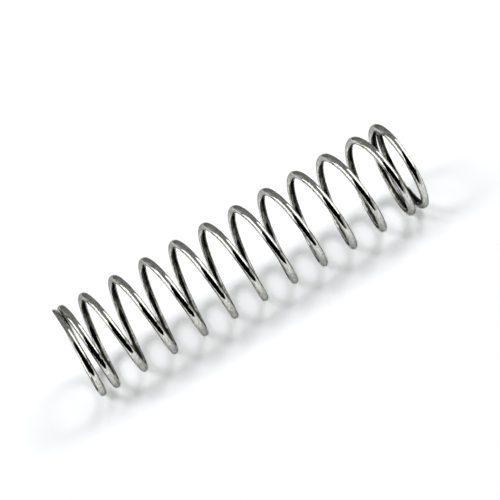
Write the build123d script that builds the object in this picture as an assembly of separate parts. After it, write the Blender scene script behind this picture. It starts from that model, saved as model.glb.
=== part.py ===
from build123d import *
import math
import os

os.makedirs("parts", exist_ok=True)

# A right-hand wound compression spring of round wire, standing on its lower seat.
# Both ends are closed, so that each tip lies on the next coil, and ground flat across the
# axis. Lengths are in millimetres, and turns are counted along the wire from the lower tip.
WIRE = 0.8              # diameter of the drawn wire
OUTER = 10.0            # outside diameter of the coil
FREE_LENGTH = 38.4      # between the two ground seats, unloaded
TURNS = 12.9            # of wire, from tip to tip
LOWER_CLOSED = 0.3      # turns at the lower tip that are wound at the small closed lead
LOWER_OPENING = 1.8     # turns over which the lead then grows to that of the active coils
UPPER_CLOSED = 0.7      # the same two at the upper tip, where the coils open faster
UPPER_OPENING = 1.0
TIP_GAP = 0.08          # between a tip and the coil that it closes onto
TIP_THICKNESS = 0.5     # of the wire that grinding leaves at each tip
START_ANGLE = 180       # direction of the lower tip, in degrees from +X
CURVES_PER_TURN = 3     # of the centre line, joined end to end
STEPS_PER_CURVE = 5     # between the points that each curve is drawn through

MEAN_RADIUS = (OUTER - WIRE) / 2
TIP_HEIGHT = TIP_THICKNESS - WIRE / 2       # of the wire's centre above its seat, at a tip
FIRST_RISE = WIRE + TIP_GAP                 # of the wire's centre, over a turn from a tip
LOWER = (LOWER_CLOSED, LOWER_OPENING)
UPPER = (UPPER_CLOSED, UPPER_OPENING)


def slowness(turn, end):
    """How closed the coil still is at `turn` from the tip of an end: 1 there, 0 once active."""
    closed, opening = end
    return min(max((closed + opening - turn) / opening, 0), 1)


def slow_turns(turn, end):
    """The turns that slowness adds up to, from the tip of an end to `turn` from it."""
    closed, opening = end
    opened = min(max(turn - closed, 0), opening)
    return min(turn, closed) + opened - opened**2 / (2 * opening)


# Along an end, the wire lags behind an even climb at the active lead in proportion to its slow
# turns. The lag after one turn is what makes the rise there FIRST_RISE, so every lag is counted
# in those first ones, and the active lead is the one that brings the whole coil to its length.
LOWER_LAGS = slow_turns(TURNS, LOWER) / slow_turns(1, LOWER)
UPPER_LAGS = slow_turns(TURNS, UPPER) / slow_turns(1, UPPER)
RISE = FREE_LENGTH - 2 * TIP_HEIGHT
ACTIVE_LEAD = (RISE - (LOWER_LAGS + UPPER_LAGS) * FIRST_RISE) / (TURNS - LOWER_LAGS - UPPER_LAGS)
FIRST_LAG = ACTIVE_LEAD - FIRST_RISE


def centre(turn):
    """The point of the wire's centre line at a turn."""
    angle = math.radians(START_ANGLE + 360 * turn)
    lower_lags = slow_turns(turn, LOWER) / slow_turns(1, LOWER)
    upper_lags = UPPER_LAGS - slow_turns(TURNS - turn, UPPER) / slow_turns(1, UPPER)
    height = TIP_HEIGHT + ACTIVE_LEAD * turn - FIRST_LAG * (lower_lags + upper_lags)
    return Vector(MEAN_RADIUS * math.cos(angle), MEAN_RADIUS * math.sin(angle), height)


def heading(turn):
    """The direction in which the wire runs at a turn, as its travel in one turn."""
    angle = math.radians(START_ANGLE + 360 * turn)
    around = 2 * math.pi * MEAN_RADIUS
    lower_drag = slowness(turn, LOWER) / slow_turns(1, LOWER)
    upper_drag = slowness(TURNS - turn, UPPER) / slow_turns(1, UPPER)
    lead = ACTIVE_LEAD - FIRST_LAG * (lower_drag + upper_drag)
    return Vector(-around * math.sin(angle), around * math.cos(angle), lead)


def centre_line():
    """The coiled path, as a row of curves that run smoothly into each other."""
    count = math.ceil(TURNS * CURVES_PER_TURN)
    step = TURNS / (count * STEPS_PER_CURVE)
    curves = []
    for first in range(0, count * STEPS_PER_CURVE, STEPS_PER_CURVE):
        turns = [step * i for i in range(first, first + STEPS_PER_CURVE + 1)]
        points = [centre(turn) for turn in turns]
        ends = [heading(turns[0]), heading(turns[-1])]
        curves.append(Spline(*points, tangents=ends, tangent_scalars=[1, 1]))
    return Wire(curves)


def coiled_wire():
    """Round wire along the coiled path, before its ends are ground."""
    section = Plane(origin=centre(0), z_dir=heading(0)) * Circle(WIRE / 2)
    return sweep(section, path=centre_line(), is_frenet=True)


def ground(coil):
    """The coil with both ends ground off square to the axis, at the free length."""
    seated = split(coil, bisect_by=Plane.XY, keep=Keep.TOP)
    return split(seated, bisect_by=Plane.XY.offset(FREE_LENGTH), keep=Keep.BOTTOM)


spring_wire = ground(coiled_wire())
export_step(spring_wire, "parts/spring_wire.step")
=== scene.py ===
# %% [markdown]
# # A compression spring of bright wire
# The real thing is one length of round spring steel, pulled through dies until it is bright, and
# then wound on a rod. Its end turns are closed and ground flat so that it stands up. The packed
# part already holds that coil, ends and all, so nothing new is modelled in this lesson. Polished
# wire has hardly a colour of its own, though: what you see is what it mirrors. So the lesson makes
# the surface of the wire, a small studio for it to mirror, a sheet for it to lie on and a camera.

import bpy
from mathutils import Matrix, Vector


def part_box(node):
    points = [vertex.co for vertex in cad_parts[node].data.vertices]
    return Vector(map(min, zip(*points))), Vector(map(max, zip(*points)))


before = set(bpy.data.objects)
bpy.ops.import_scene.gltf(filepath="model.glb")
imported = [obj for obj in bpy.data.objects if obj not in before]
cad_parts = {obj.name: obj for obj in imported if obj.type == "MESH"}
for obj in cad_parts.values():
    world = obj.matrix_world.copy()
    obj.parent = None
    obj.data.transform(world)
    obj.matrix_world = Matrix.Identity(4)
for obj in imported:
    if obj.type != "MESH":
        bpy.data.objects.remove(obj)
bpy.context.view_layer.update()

import math

import bpy
from mathutils import Matrix, Vector

MM = 0.001             # Blender works in metres here, and a spring is thought of in millimetres
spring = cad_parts["spring_wire"]
low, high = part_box("spring_wire")
RADIUS = (high.x - low.x) / 2
print("spring", [round(side / MM, 2) for side in high - low], "mm")

# %% [markdown]
# ## How the spring lies
# The part stands on its lower end, the only face that it rests on without rolling. It is shown
# lying on its side, all the same. The part could be laid down, but its place belongs to the CAD
# model, so the studio is turned round it instead: the sheet touches the side of the coil, and "up"
# is a sideways direction here. Every later step gives its places as a mix of three directions:
# along the coil, away from the camera, and up from the sheet.

# %% The directions of the studio
FLOOR_ANGLE = 25       # degrees from +X, round the coil, to the line that touches the sheet
DOWN = Vector((math.cos(math.radians(FLOOR_ANGLE)), math.sin(math.radians(FLOOR_ANGLE)), 0))
UP = -DOWN
ALONG = Vector((0, 0, 1))
AWAY = UP.cross(ALONG)
TOWARD = -AWAY
MIDDLE = ALONG * (low.z + high.z) / 2
FLOOR = MIDDLE + DOWN * RADIUS
print("the coil touches the sheet at", [round(value / MM, 1) for value in FLOOR], "mm")

# %% [markdown]
# ## Three small helpers
# Colours are written as the hex codes that a paint chart would give. Blender counts light in
# linear steps, so one function turns the code round. Materials are built of nodes, and one
# function adds any node: it takes the node's settings, and for each input either a value or
# whatever feeds it. The third one starts a material with an empty node tree.

# %% Colours and nodes
def rgb(code):
    """The linear colour of an sRGB hex code."""
    parts = [int(code[i:i + 2], 16) / 255 for i in (1, 3, 5)]
    return [p / 12.92 if p <= 0.04045 else ((p + 0.055) / 1.055) ** 2.4 for p in parts] + [1]


def add(tree, kind, inputs, **settings):
    """Adds a node. Each input gets a value, or is fed by a socket or a node's first output."""
    node = tree.nodes.new(kind)
    for name, value in settings.items():
        setattr(node, name, value)
    for name, value in inputs.items():
        if isinstance(value, bpy.types.Node):
            value = value.outputs[0]
        if isinstance(value, bpy.types.NodeSocket):
            tree.links.new(value, node.inputs[name])
        else:
            node.inputs[name].default_value = value
    return node


def empty_material(name):
    """A material with no nodes yet."""
    made = bpy.data.materials.new(name)
    made.use_nodes = True
    made.node_tree.nodes.clear()
    return made


print("the brightest steel", [round(part, 3) for part in rgb("#ecece6")])

# %% [markdown]
# ## The camera
# The camera looks across the coil from a little beyond its lower end, with a long lens from about
# 20 cm, so the turns keep nearly the same size from one end to the other. It is rolled by some
# 60 degrees, which lays the standing coil on its side and lets it rise to the right. The aim, the
# distance and the roll are measured from the part and not from the studio, so turning the sheet
# leaves the framing alone.

# %% Camera
AZIMUTH, ELEVATION = -8.85, -8.01      # degrees round the coil, and above its foot
DISTANCE = 202.3 * MM
AIM = Vector((-0.257, -0.009, 20.227)) * MM
ROLL = 59.87
LENS = 145.07          # mm, in front of a sensor that is 36 mm wide
SENSOR = 36

side, rise = math.radians(AZIMUTH), math.radians(ELEVATION)
back = Vector((math.sin(side) * math.cos(rise), -math.cos(side) * math.cos(rise), math.sin(rise)))
camera_data = bpy.data.cameras.new("camera")
camera_data.lens = LENS
camera_data.sensor_width = SENSOR
camera_data.clip_start = 0.001
camera_data.clip_end = 10
camera = bpy.data.objects.new("camera", camera_data)
bpy.context.scene.collection.objects.link(camera)
aimed = (-back).to_track_quat("-Z", "Y").to_matrix().to_4x4()
roll = Matrix.Rotation(math.radians(ROLL), 4, "Z")
camera.matrix_world = Matrix.Translation(AIM + back * DISTANCE) @ aimed @ roll
bpy.context.scene.camera = camera
shown_width = DISTANCE * SENSOR / LENS
print("camera", round(DISTANCE / MM), "mm away, showing", round(shown_width / MM), "mm across")

# %% [markdown]
# ## A place on the wire
# Drawn wire is marked along its length: every die leaves fine lines that run with the wire. Those
# lines have to follow the helix, so plain x, y and z won't do. Three sums turn the place of a
# point into a place on the wire. The distance from the axis tells the inside of the coil from its
# outside. The turn about the axis, taken from the height, tells how far round the section the
# point is. Sine and cosine of that angle come back to where they began after each turn, so the
# pattern has no seam.

# %% Coordinates of the wire
COIL = 4.6 * MM        # from the axis to the middle of the wire
LEAD = 3.5 * MM        # what one open turn climbs
steel = empty_material("drawn_spring_steel")
tree = steel.node_tree

place = add(tree, "ShaderNodeTexCoord", {}).outputs["Object"]
axes = add(tree, "ShaderNodeSeparateXYZ", {0: place})
x, y, z = axes.outputs
flat = add(tree, "ShaderNodeVectorMath", {0: place, 1: (1, 1, 0)}, operation="MULTIPLY")
radius = add(tree, "ShaderNodeVectorMath", {0: flat}, operation="LENGTH").outputs["Value"]
turned = add(tree, "ShaderNodeMath", {0: y, 1: x}, operation="ARCTAN2")
climbed = add(tree, "ShaderNodeMath", {0: z, 1: 2 * math.pi / LEAD}, operation="MULTIPLY")
across = add(tree, "ShaderNodeMath", {0: climbed, 1: turned}, operation="SUBTRACT")
deep = add(tree, "ShaderNodeMath", {0: radius, 1: LEAD / (2 * math.pi) - COIL}, operation="ADD")
print("a turn of wire is", round(math.hypot(2 * math.pi * COIL, LEAD) / MM, 1), "mm long")

# %% [markdown]
# ## Marks that follow the wire
# Noise makes good wear, because no two marks are the same. This helper stretches it: `long` is
# how far a mark runs with the wire and `wide` how far it reaches across, both true sizes. The
# noise is asked for in four dimensions, two for the place along the coil and two for the place
# round the section.

# %% Marks on the wire
cosine = add(tree, "ShaderNodeMath", {0: across}, operation="COSINE")
sine = add(tree, "ShaderNodeMath", {0: across}, operation="SINE")
section_first = add(tree, "ShaderNodeMath", {0: deep, 1: cosine}, operation="MULTIPLY")
section_second = add(tree, "ShaderNodeMath", {0: deep, 1: sine}, operation="MULTIPLY")
slanted = add(tree, "ShaderNodeMath", {0: x, 1: z}, operation="ADD")
run = add(tree, "ShaderNodeCombineXYZ", {0: slanted, 1: y})
section = add(tree, "ShaderNodeCombineXYZ", {2: section_first})


def marks(long, wide, detail, roughness, shift):
    """Noise in marks about `long` along the wire and `wide` across it."""
    with_wire = add(tree, "ShaderNodeVectorMath", {0: run, "Scale": 1 / long}, operation="SCALE")
    round_wire = add(tree, "ShaderNodeVectorMath", {0: section, "Scale": 1 / wide},
                     operation="SCALE")
    where = add(tree, "ShaderNodeVectorMath", {0: with_wire, 1: round_wire}, operation="ADD")
    fourth = add(tree, "ShaderNodeMath", {0: section_second, 1: 1 / wide, 2: shift},
                 operation="MULTIPLY_ADD")
    return add(tree, "ShaderNodeTexNoise",
               {"Vector": where, "W": fourth, "Scale": 1, "Detail": detail, "Roughness": roughness},
               noise_dimensions="4D")


# Real die lines are a few hundredths of a millimetre apart, too fine to show at this distance, so
# they are drawn 0.16 mm apart. The mottle of pickling and handling is drawn 0.14 mm wide. The
# shift takes the mottle from another part of the noise.
LINE_LONG, LINE_APART = 3 * MM, 0.16 * MM
SPOT_LONG, SPOT_WIDE = 0.35 * MM, 0.14 * MM
streaks = marks(LINE_LONG, LINE_APART, detail=2, roughness=0.5, shift=0)
mottle = marks(SPOT_LONG, SPOT_WIDE, detail=2, roughness=0.6, shift=7)
print("die lines", LINE_LONG / MM, "mm long and", LINE_APART / MM, "mm apart")

# %% [markdown]
# ## Bright outside, painted shade inside
# The inner faces of the turns look down at the paper that the coil shades, and at the coil
# itself mirrored over and over, and a few bounces of light leave them too pale. So a brown-black
# painted shade is put on the inside of the turns: the colour goes by the distance from the axis,
# dark on the side that faces the axis, bright elsewhere. The streaks shift the border a little,
# so that it frays along the wire.

# %% Colour of the wire
PAINTED_SHADE_TO = 4.26 * MM    # from the axis: all painted shade inside this
UNSHADED_FROM = 4.38 * MM  # and all bright outside this
FRAY = 0.1 * MM        # how far the streaks shift the border

frayed = add(tree, "ShaderNodeMath", {0: streaks, 1: FRAY, 2: radius}, operation="MULTIPLY_ADD")
out_of_painted_shade = add(tree, "ShaderNodeMapRange",
             {"Value": frayed, "From Min": PAINTED_SHADE_TO, "From Max": UNSHADED_FROM})
# noise seldom strays far from a half, so this range takes it from one tone to the other
patchy = add(tree, "ShaderNodeMapRange", {"Value": mottle, "From Min": 0.38, "From Max": 0.66})
# 6 and 7 are the two colours of a mix, and output 2 is the mixed colour
bright = add(tree, "ShaderNodeMix", {0: patchy, 6: rgb("#aeaea8"), 7: rgb("#ecece6")},
             data_type="RGBA")
# Painted shade: the inside of each turn gets this dark colour in place of the shaded paper it would
# mirror
painted_shade = add(tree, "ShaderNodeMix", {0: patchy, 6: rgb("#161410"), 7: rgb("#4a473d")},
           data_type="RGBA")
tone = add(tree, "ShaderNodeMix", {0: out_of_painted_shade, 6: painted_shade.outputs[2], 7: bright.outputs[2]},
           data_type="RGBA")
# where the painted shade on the inside of the turns ends
print("the skin ends", round((PAINTED_SHADE_TO - COIL) / MM, 2), "mm from the middle of the wire")

# %% [markdown]
# ## The steel itself
# Spring steel is a bare metal, so Metallic is 1 and its colour is the colour of its reflections.
# Drawn wire is close to a mirror: a roughness of about a tenth keeps the edges of what it
# mirrors and softens them a little, and the mottled patches are the rougher ones. The lines are
# less than a hundredth of a millimetre deep, which a bump gives without any more mesh. A tint
# below white in Specular Tint darkens only the rims, where the surface turns away, as the oil
# film on real wire does. That outlines each turn against a white sheet.

# %% Shader
LINE_DEEP = 0.007 * MM
polish = add(tree, "ShaderNodeMapRange",
             {"Value": mottle, "From Min": 0.4, "From Max": 0.7, "To Min": 0.05, "To Max": 0.14})
height = add(tree, "ShaderNodeMath", {0: mottle, 1: 0.1, 2: streaks}, operation="MULTIPLY_ADD")
lines = add(tree, "ShaderNodeBump", {"Height": height, "Strength": 1, "Distance": LINE_DEEP})
shader = add(tree, "ShaderNodeBsdfPrincipled",
             {"Base Color": tone.outputs[2], "Metallic": 1, "Roughness": polish, "Normal": lines,
              "Specular Tint": rgb("#a4a4a4")})
add(tree, "ShaderNodeOutputMaterial", {"Surface": shader})
spring.material_slots[0].material = steel
print(steel.name, "has", len(tree.nodes), "nodes")

# %% [markdown]
# ## Cards
# A studio for shiny things is mostly cards: flat pieces of paper and cloth that are there to be
# mirrored. One helper makes them all. It adds a plane, moves its four corners to where they
# belong, and stands it up to face a direction. The corners go round: low left, low right, high
# right, high left.

# %% Card helper
def card(name, centre, facing, across, corners):
    """A flat card. `corners` are (across, up) from `centre`, round from the low left one."""
    bpy.ops.object.select_all(action="DESELECT")
    bpy.ops.mesh.primitive_plane_add()
    piece = bpy.context.object
    piece.name = name
    low_left, low_right, high_right, high_left = corners
    rows = (low_left, low_right, high_left, high_right)    # the order of a plane's own corners
    for vertex, (right, up) in zip(piece.data.vertices, rows):
        vertex.co = (right, up, 0)
    standing = Matrix((across, facing.cross(across), facing)).transposed().to_4x4()
    piece.matrix_world = Matrix.Translation(centre) @ standing
    return piece


def oblong(width, height, low=0.0):
    """The corners of a plain card that starts at `low`."""
    half = width / 2
    return [(-half, low), (half, low), (half, low + height), (-half, low + height)]


print("a plain card", oblong(2, 1))

# %% [markdown]
# ## The sheet
# The spring lies on a sheet of matt white paper. It is lit a little from below as well, as on a
# light table, which keeps its shadows pale. Its front edge is only 13 mm from the coil, since
# polished wire mirrors that edge: what lies in front of it is dark, and that is where the black
# line on every turn comes from. From below the sheet would hide the spring, so its back is
# clear to the camera and to nothing else.

# %% Sheet
SHEET_FRONT = 12.9 * MM
SHEET_DEEP = 130 * MM
SHEET_LONG = 400 * MM
GLOW = 0.21            # from below, 1 for white

sheet = card("white_sheet", FLOOR + TOWARD * SHEET_FRONT, UP, ALONG, oblong(SHEET_LONG, SHEET_DEEP))
paper = empty_material("matt_white_paper")
tree = paper.node_tree
matt = add(tree, "ShaderNodeBsdfDiffuse", {"Color": rgb("#fafbfd")})
from_below = add(tree, "ShaderNodeEmission", {"Strength": GLOW})
lit = add(tree, "ShaderNodeAddShader", {0: matt, 1: from_below})
clear = add(tree, "ShaderNodeBsdfTransparent", {})
seen = add(tree, "ShaderNodeLightPath", {}).outputs["Is Camera Ray"]
behind = add(tree, "ShaderNodeNewGeometry", {}).outputs["Backfacing"]
hidden = add(tree, "ShaderNodeMath", {0: seen, 1: behind}, operation="MULTIPLY")
mixed = add(tree, "ShaderNodeMixShader", {0: hidden, 1: lit, 2: clear})
add(tree, "ShaderNodeOutputMaterial", {"Surface": mixed})
sheet.data.materials.append(paper)
print("sheet", round(SHEET_LONG / MM), "by", round(SHEET_DEEP / MM), "mm")

# %% [markdown]
# ## The tent
# Round the sheet stands a tent of gray cloth, about 90 cm wide. Its only task is to be mirrored:
# the tops of the turns show its back wall, as a calm middle gray. A cloth is given just the
# brightness that it would have, and the camera, the shadows and the light on the paper all
# pass through it. That way the reflections can be set without changing the light.

# %% Cloths and walls
SIDE = 0.45            # metres from the middle of the coil to the soft boxes at either end
LAYER = 0.01           # between cloths that hang in front of each other
BACK, FRONT, TOP = 0.5, 0.6, 0.85      # to the other walls and the ceiling
WALL_DEEP, WALL_HIGH, WALL_LOW = 1.6, 1.4, -0.5
OVERLAP = 0.1          # of the long walls past the soft boxes, so that no gap shows
TABLE = 3 * MM         # below the sheet


def cloth(name, strength):
    """An even cloth. `strength` is its brightness, 1 for white paper in this light."""
    made = empty_material(name)
    tree = made.node_tree
    light = add(tree, "ShaderNodeEmission", {"Strength": strength})
    add(tree, "ShaderNodeOutputMaterial", {"Surface": light})
    return made


def hang(made, name, centre, facing, across, corners):
    """A card of a cloth that only reflections see."""
    piece = card(name, centre, facing, across, corners)
    piece.data.materials.append(made)
    piece.visible_camera = False
    piece.visible_shadow = False
    piece.visible_diffuse = False
    return piece


gray = cloth("gray_cloth", 0.24)
light_gray = cloth("light_gray_cloth", 0.25)
side_wall = oblong(WALL_DEEP, WALL_HIGH, WALL_LOW)
long_wall = oblong(2 * SIDE + OVERLAP, WALL_HIGH, WALL_LOW)
hang(gray, "left_wall", FLOOR - ALONG * (SIDE + 2 * LAYER), ALONG, AWAY, side_wall)
hang(gray, "right_wall", FLOOR + ALONG * (SIDE + 2 * LAYER), -ALONG, TOWARD, side_wall)
hang(gray, "back_wall", FLOOR + AWAY * BACK, TOWARD, ALONG, long_wall)
hang(light_gray, "front_wall", FLOOR + TOWARD * FRONT, AWAY, -ALONG, long_wall)
hang(light_gray, "ceiling", FLOOR + UP * TOP + AWAY, DOWN, ALONG, oblong(2, 2))
hang(cloth("table_cloth", 0.5), "table", FLOOR + DOWN * TABLE + TOWARD, UP, ALONG, oblong(2, 2))
print("tent", 2 * SIDE, "m wide and", BACK + FRONT, "m deep")

# %% [markdown]
# ## The soft boxes
# Two tall diffusers stand at the ends of the coil. Round wire squeezes each of them into a thin
# white line that runs along the turn, one on either side of it, and those two lines are what
# says "polished" to the eye. Their edges lean, so that the lines taper towards the top of
# the turn. A paler strip beside the left one softens the change from white to gray.

# %% Soft boxes
white = cloth("lit_diffuser", 2.1)
left_corners = [(-0.09, 0.03), (0.43, -0.02), (0.22, 0.60), (-0.32, 0.60)]
right_corners = [(-0.25, -0.02), (0.56, 0.04), (0.33, 0.68), (-0.10, 0.75)]
pale_corners = [(-0.46, -0.05), (-0.25, -0.05), (-0.33, 0.4), (-0.46, 0.4)]
hang(white, "left_softbox", FLOOR - ALONG * SIDE, ALONG, AWAY, left_corners)
hang(white, "right_softbox", FLOOR + ALONG * SIDE, -ALONG, TOWARD, right_corners)
pale = cloth("pale_cloth", 0.48)
hang(pale, "pale_side", FLOOR + AWAY * (BACK - LAYER), TOWARD, ALONG, pale_corners)
widths = [round(corners[1][0] - corners[0][0], 2) for corners in (left_corners, right_corners)]
print("soft boxes", widths, "m wide at the foot")

# %% [markdown]
# ## The black cloth
# Between the two white lines runs a black wedge. It is the dark room in front of the spring, or
# a black cloth hung there on purpose: white next to black is what gives metal its snap. The
# cloth hangs 30 cm in front, goes round the left corner, and carries on over the table up to the
# edge of the sheet. It narrows towards the top, so the wedge comes to a point.

# %% Black cloth
BLACK_FRONT = 0.3      # metres from the coil to the cloth in front
black = cloth("black_cloth", 0)
front_corners = [(-0.68, -0.5), (2.3, -0.5), (0.20, 0.53), (-0.10, 0.53)]
side_corners = [(-0.8, -0.5), (-0.04, -0.5), (-0.10, 0.35), (-0.8, 0.60)]
table_corners = [(-1.4, 0), (0.18, 0), (0.012, 0.286), (-0.3, 0.286)]
front_centre = FLOOR + TOWARD * BLACK_FRONT
table_centre = front_centre + DOWN * (TABLE - 1 * MM)
hang(black, "black_cloth", front_centre, AWAY, -ALONG, front_corners)
hang(black, "black_side", FLOOR - ALONG * (SIDE + LAYER), ALONG, AWAY, side_corners)
hang(black, "dark_table", table_centre, UP, ALONG, table_corners)
print("black cloth", BLACK_FRONT, "m in front of the coil")

# %% [markdown]
# ## Under the coil
# The inner faces of the far strands look down at the paper between the turns. There the coil
# shades the paper and is mirrored over and over, which a few bounces of light don't darken
# enough. A narrow dark strip on that part of the sheet, seen only in reflections, is painted
# shade that does.

# %% Dark strip
STRIP_LONG, STRIP_WIDE = 60 * MM, 6.2 * MM
# Painted shade: a dim card in place of the coil's shadow on the paper, seen only in reflections
dark = cloth("painted_under_coil_shade", 0.18)
strip_centre = FLOOR + UP * 0.1 * MM + TOWARD * 0.3 * MM
hang(dark, "painted_shade_strip", strip_centre, UP, ALONG, oblong(STRIP_LONG, STRIP_WIDE))
print("dark strip", round(STRIP_WIDE / MM, 1), "mm wide")

# %% [markdown]
# ## The lamps
# The light that falls on the paper comes from three soft round lamps: one over each end of the
# coil, and a weaker one high at the back. The two at the ends throw the shadows of neighbouring
# turns across each other, and that draws the row of pale loops under the coil. Wide lamps let the
# shadows of the lower wire stay clear while those of the upper wire melt away. The
# reflections are the tent's task, so the wire doesn't mirror the lamps.

# %% Lamps
LAMP_FAR = 0.7         # metres


def lamp(name, turn, rise, size, power):
    """A round lamp `turn` degrees from the upper end, going away from the camera, and `rise` up."""
    bpy.ops.object.select_all(action="DESELECT")
    bpy.ops.object.light_add(type="AREA")
    made = bpy.context.object
    made.name = name
    made.data.shape = "DISK"
    made.data.size = size
    made.data.energy = power
    turn, rise = math.radians(turn), math.radians(rise)
    level = ALONG * math.cos(turn) + AWAY * math.sin(turn)
    direction = level * math.cos(rise) + UP * math.sin(rise)
    aimed = direction.to_track_quat("Z", "Y").to_matrix().to_4x4()
    made.matrix_world = Matrix.Translation(MIDDLE + direction * LAMP_FAR) @ aimed
    made.visible_camera = False
    made.visible_glossy = False
    print(name, power, "W")
    return made


lamp("left_lamp", turn=168, rise=46, size=0.40, power=2.5)
lamp("right_lamp", turn=12, rise=46, size=0.40, power=2.3)
lamp("back_lamp", turn=95, rise=60, size=0.50, power=0.8)

# %% [markdown]
# ## The world
# Beyond the sheet the background is plain white. Rays from the camera, and rays that metal or
# glass sends on, are given that white. All others get a dim gray, which fills the shadows a
# little and adds next to nothing to the light on the part.

# %% World
FILL = 0.12
world = bpy.data.worlds.new("white_studio")
bpy.context.scene.world = world
world.use_nodes = True
tree = world.node_tree
tree.nodes.clear()
ray = add(tree, "ShaderNodeLightPath", {}).outputs
direct = add(tree, "ShaderNodeMath", {0: ray["Is Camera Ray"], 1: ray["Is Glossy Ray"]},
             operation="MAXIMUM")
shown = add(tree, "ShaderNodeMath", {0: direct, 1: ray["Is Transmission Ray"]},
            operation="MAXIMUM")
fill = add(tree, "ShaderNodeBackground", {"Color": rgb("#ffffff"), "Strength": FILL})
backdrop = add(tree, "ShaderNodeBackground", {"Color": rgb("#ffffff"), "Strength": 1})
mixed = add(tree, "ShaderNodeMixShader", {0: shown, 1: fill, 2: backdrop})
add(tree, "ShaderNodeOutputWorld", {"Surface": mixed})
print("background white, fill", FILL)

# %% [markdown]
# ## Finish
# The view is set to Standard, so that colours come out as they were written. Nothing was added
# to the spring.

# %% Finish
bpy.context.scene.view_settings.view_transform = "Standard"
